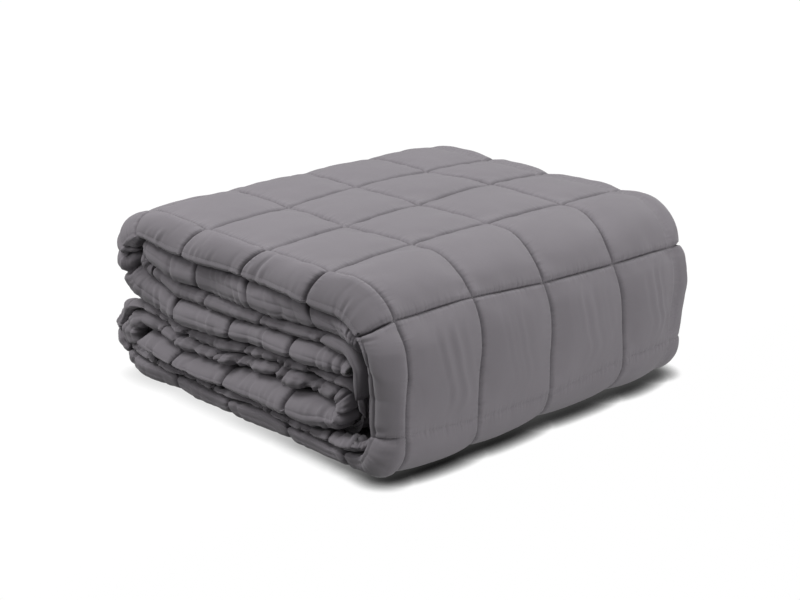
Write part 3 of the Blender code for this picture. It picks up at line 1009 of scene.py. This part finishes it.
def microfibre():
    """Grey nap with a cloudy cast, puckers that run away from each seam, and painted shade in a
    thin line over each seam groove.
    """
    material, surface, start = new_finish("cloth", Specular_IOR_Level=0.25, Sheen_Weight=0.15,
                                          Sheen_Roughness=0.5)
    where = start.node("ShaderNodeTexCoord", output=3)
    sewn = start.node("ShaderNodeUVMap", {"uv_map": "cloth"})
    cloudy, fibres, nap = (
        start.node("ShaderNodeTexNoise", Vector=where, Scale=scale, Detail=detail, Roughness=rough)
        for scale, detail, rough in ((9.0, 2.0, 0.5), (1400.0, 2.0, 0.6), (260.0, 3.0, 0.6)))
    puckers, line = 0.0, 1.0
    for title, stretch in (("along_gap", (18.0, 210.0, 1.0)), ("across_gap", (210.0, 18.0, 1.0))):
        gap = start.node("ShaderNodeAttribute", {"attribute_name": title}, output=2)
        scaled = start.node("ShaderNodeVectorMath", {"operation": "MULTIPLY"}, _0=sewn, _1=stretch)
        folds = start.node("ShaderNodeTexNoise", Vector=scaled, Scale=1.0, Detail=1.5,
                           Roughness=0.5)
        near = (1 - gap * (1 / PUCKER_REACH)).maths("MAXIMUM", 0.0)
        puckers = puckers + folds * near * near
        # Painted shade of the seam groove: 0 on the seam, rising to 1 a line width away.
        line = line * (gap * (1 / SEAM_SHADE_WIDTH)).maths("MINIMUM", 1.0)
    # Base colour factor: random cloudy tone and grain, times the painted seam shade, which darkens
    # the grey to 58% on the seam.
    tone_and_seam_shade = (cloudy * 0.14 + fibres * 0.10 + nap * 0.06 + 0.85) * (line * 0.42 + 0.58)
    start.node("ShaderNodeVectorMath", {"operation": "SCALE"}, _0=CLOTH_GREY,
               Scale=tone_and_seam_shade).feed(surface, "Base Color")
    (nap * 0.10 + (CLOTH_ROUGHNESS - 0.05)).feed(surface, "Roughness")
    soft = start.node("ShaderNodeBump", Height=puckers, Strength=0.6, Distance=0.004)
    start.node("ShaderNodeBump", Height=fibres * 0.6 + nap * 0.4, Strength=0.25, Distance=0.0006,
               Normal=soft).feed(surface, "Normal")
    return material


CLOTH = microfibre()
for piece in pieces:
    piece.data.materials.append(CLOTH)
print("cloth finish on", [piece.name for piece in pieces])

# %% [markdown]
# ## Stitches
# Every seam is a row of lock stitches, about 3.6 mm apart, sunk in its groove.  They are
# thousands of the same small thing along known lines, which is what Geometry Nodes are
# for: the seam lines are read off the skin as plain edges, and the tree sets one stretched
# grain of thread at each step along them, turned along the seam.

# %% Read the seam lines off the skins
def seam_lines(sheet, skin, seams):
    """Lines of points on a skin's visible seams, in cells."""
    stations, points, known = skin
    lines, ring = [], points.shape[1]
    hem = int(np.argmin(np.abs(known[0, :, 1])))
    fold = list(range(ring - len(FOLD_ANGLES) + 1, ring)) if sheet == "outer" else []
    near = [row for row in range(hem) if points[0, row, 1] < NEAR_SEAM + 0.1]
    for seam in seams[1:-1]:
        number = int(np.argmin(np.abs(stations - seam)))
        shown = sheet == "outer" and (T0_LOW - 0.1 < seam < T1_HIGH or T2_LOW < seam < T2_HIGH)
        if shown:
            lines.append(points[number, fold + list(range(hem))])
        else:
            lines.append(points[number, near])
            lines += [points[number, fold]] if fold else []
    if sheet == "outer":
        free = [np.nonzero((stations > low) & (stations < high))[0]
                for low, high in ((T0_LOW, T1_HIGH - 0.3), (T2_LOW + 0.3, T2_HIGH - 0.3))]
        crossing = [int(np.argmin(np.abs(FACE_YS["outer"] - y))) for y in CROSS_SEAMS]
        lines += [points[numbers, row] for numbers in free for row in crossing]
        hem_row = hem - int(np.argmin(np.abs(HEM_ROWS - 1.0)))
        lines.append(points[(stations > T0_HIGH) & (stations < T1_HIGH), hem_row])
    return lines


def lines_mesh(name, lines):
    corners = (np.concatenate(lines) + (SHIFT_X, 0, 0)) * CELL
    starts = np.cumsum([0] + [len(line) for line in lines])
    edges = [(v, v + 1) for low, high in zip(starts[:-1], starts[1:]) for v in range(low, high - 1)]
    mesh = bpy.data.meshes.new(name)
    mesh.from_pydata(corners.tolist(), edges, [])
    return mesh


SEAM_LINES = (seam_lines("outer", OUTER_SKIN, LENGTH_SEAMS)
              + seam_lines("inner", INNER_SKIN, LINING_SEAMS))
print(len(SEAM_LINES), "seam lines,", sum(len(line) for line in SEAM_LINES), "points")


# %% A tree that sews along edges
STITCH_SIZES = {"Pitch": 0.0036, "Stitch Length": 0.0027, "Thread Width": 0.0006}


def sewing_tree(thread):
    tree = bpy.data.node_groups.new("sewing", "GeometryNodeTree")
    face = tree.interface
    face.new_socket("Geometry", in_out="INPUT", socket_type="NodeSocketGeometry")
    sockets = {}
    for title, value in STITCH_SIZES.items():
        socket = face.new_socket(title, in_out="INPUT", socket_type="NodeSocketFloat")
        socket.default_value = value
        sockets[title] = socket.identifier
    face.new_socket("Geometry", in_out="OUTPUT", socket_type="NodeSocketGeometry")
    given, end = tree.nodes.new("NodeGroupInput"), tree.nodes.new("NodeGroupOutput")
    lines, pitch, length, width = (Wire(tree, given.outputs[title])
                                   for title in ("Geometry", *STITCH_SIZES))
    start = Wire(tree, None)
    curves = start.node("GeometryNodeMeshToCurve", _0=lines)
    steps = start.node("GeometryNodeResampleCurve", {"mode": "LENGTH"}, Curve=curves, Length=pitch)
    turned = start.node("FunctionNodeAlignRotationToVector", {"axis": "X"},
                        Vector=start.node("GeometryNodeInputTangent"))
    uneven = start.node("FunctionNodeRandomValue", {"data_type": "FLOAT"}, output=1, _2=0.85,
                        _3=1.1, Seed=7)
    size = start.node("ShaderNodeCombineXYZ", X=length * uneven, Y=width * 1.0, Z=width * 0.8)
    grain = start.node("GeometryNodeMeshIcoSphere", Radius=0.5, Subdivisions=1)
    sewn = start.node("GeometryNodeInstanceOnPoints", Points=steps, Instance=grain,
                      Rotation=turned, Scale=size)
    solid = start.node("GeometryNodeRealizeInstances", _0=sewn)
    start.node("GeometryNodeSetMaterial", Geometry=solid, Material=thread).feed(end, "Geometry")
    return tree, sockets


# %% Sew, and keep the result as a plain mesh
def thread_finish():
    """Matt polyester thread a little lighter than the cloth, with its twist as a bump."""
    material, surface, start = new_finish("thread", Roughness=0.7)
    where = start.node("ShaderNodeTexCoord", output=3)
    fuzz = start.node("ShaderNodeTexNoise", Vector=where, Scale=900.0, Detail=2.0)
    start.node("ShaderNodeVectorMath", {"operation": "SCALE"}, _0=(0.168, 0.160, 0.170),
               Scale=fuzz * 0.4 + 0.8).feed(surface, "Base Color")
    start.node("ShaderNodeBump", Height=fuzz, Strength=0.4, Distance=0.0003).feed(surface, "Normal")
    return material


THREAD = thread_finish()
sewing, SOCKETS = sewing_tree(THREAD)
guide = into_scene("guide", lines_mesh("guide", SEAM_LINES))
sewer = guide.modifiers.new("sewing", "NODES")
sewer.node_group = sewing
for title, value in STITCH_SIZES.items():
    sewer[SOCKETS[title]] = value
sewn_mesh = bpy.data.meshes.new_from_object(
    guide.evaluated_get(bpy.context.evaluated_depsgraph_get()))
guide.modifiers.clear()
bpy.data.objects.remove(guide)
sewn_mesh.materials.clear()
sewn_mesh.materials.append(THREAD)
sewn_mesh.polygons.foreach_set("material_index", [0] * len(sewn_mesh.polygons))
stitches = into_scene("stitches", sewn_mesh)
print(len(sewn_mesh.polygons) // 20, "stitches,", len(sewn_mesh.polygons), "triangles")

# %% [markdown]
# ## Room, light and camera
# The photograph has a white ground, soft light from above and the camera a little above
# the stack.  The ground glows evenly instead of being lit, so it is as white from every
# side; a painted contact shadow darkens it only close under the blanket, most on the
# wrapped side.  The camera's place comes from the seam crossings of the photograph.

# %% Floor and room
def pale_ground(name, half, height):
    """A plain white square of glowing ground, with a painted contact shadow where the blanket
    nearly touches it, deepest on the wrapped side.
    """
    mesh = bpy.data.meshes.new(name)
    corners = ((-1, -1), (1, -1), (1, 1), (-1, 1))
    mesh.from_pydata([(x * half, y * half, height) for x, y in corners], [], [(0, 1, 2, 3)])
    pale, surface, start = new_finish(name, Base_Color=(0, 0, 0, 1), Specular_IOR_Level=0.0,
                                      Emission_Strength=1.0)
    # Painted contact shadow: the glow is dimmed where ambient occlusion finds the blanket close,
    # and more strongly towards +x, the wrapped side.
    open_sky = start.node("ShaderNodeAmbientOcclusion", {"samples": 16}, output=1, Distance=0.022)
    place = start.node("ShaderNodeSeparateXYZ", Vector=start.node("ShaderNodeTexCoord", output=3))
    shadow_strength = (place * 3.0 + 0.35).within(0.25, 1.0)
    unshadowed = (open_sky * 1.25 - 0.2).within(0.0, 1.0)
    (WHITE - shadow_strength * (WHITE - unshadowed * unshadowed)).feed(surface, "Emission Color")
    mesh.materials.append(pale)
    ground = into_scene(name, mesh)
    ground.visible_diffuse = ground.visible_shadow = False


WHITE = 1.02
pale_ground("floor", 1.7, 0.0)
pale_ground("backdrop", 40.0, -0.01)

room = bpy.data.worlds.new("room")
room.use_nodes = True
background = room.node_tree.nodes["Background"]
background.inputs["Strength"].default_value = 1.0
sky = Wire(room.node_tree, None)
height = sky.node("ShaderNodeSeparateXYZ", output=2, Vector=sky.node("ShaderNodeTexCoord"))
((height * 2.5 + 0.5).within(0.0, 1.0) * 0.22 + 0.05).feed(background, "Color")
scene.world = room

# %% Four soft lamps
# name, place, size and power
LAMPS = (
    ("overhead", (0.1, 1.2, 2.3), 1.8, 45),
    ("right", (2.3, 0.3, -0.15), 1.5, 37),
    ("left", (-1.1, -1.2, 2.6), 1.7, 72),
    ("front", (-0.7, -2.1, 1.4), 0.8, 14),
)
LIT_POINT = Vector((0, 0, 0.1))
for name, place, size, watts in LAMPS:
    lamp = bpy.data.lights.new(name, "AREA")
    lamp.size, lamp.energy, lamp.shape = size, watts, "DISK"
    holder = into_scene(name, lamp)
    holder.location = place
    holder.rotation_euler = (LIT_POINT - Vector(place)).to_track_quat("-Z", "Y").to_euler()
scene.view_settings.view_transform = "Standard"
print("lamps:", [row[0] for row in LAMPS])

# %% Camera from the seam crossings
AZIMUTH, ELEVATION = math.radians(47.21), math.radians(18.60)
DISTANCE, FOCAL = 20.60, 85.1
back = Vector((math.sin(AZIMUTH) * math.cos(ELEVATION), -math.cos(AZIMUTH) * math.cos(ELEVATION),
               math.sin(ELEVATION)))
right = Vector((math.cos(AZIMUTH), math.sin(AZIMUTH), 0))
upward = back.cross(right)
target = Vector((SHIFT_X, 0, 1.0)) + right * -0.231 + upward * -0.046
lens = bpy.data.cameras.new("camera")
lens.lens, lens.sensor_width, lens.sensor_fit = FOCAL, 36.0, "HORIZONTAL"
camera = into_scene("camera", lens)
camera.matrix_world = Matrix.Translation((target + back * DISTANCE) * CELL) @ Matrix(
    (right, upward, back)).transposed().to_4x4()
scene.camera = camera
print("camera at", [round(v, 3) for v in camera.location])

# %% [markdown]
# ## Hand the pieces to the frame
# The five pieces of skin ride on the one body and stand for the plain solid, which stays
# out of sight for contact.  The blanket is a filled quilt.  The stitches ride with them.

# %% Ride, and hide the plain solid
for piece in pieces:
    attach(piece, "root")
    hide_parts("blanket")

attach(stitches, "root")
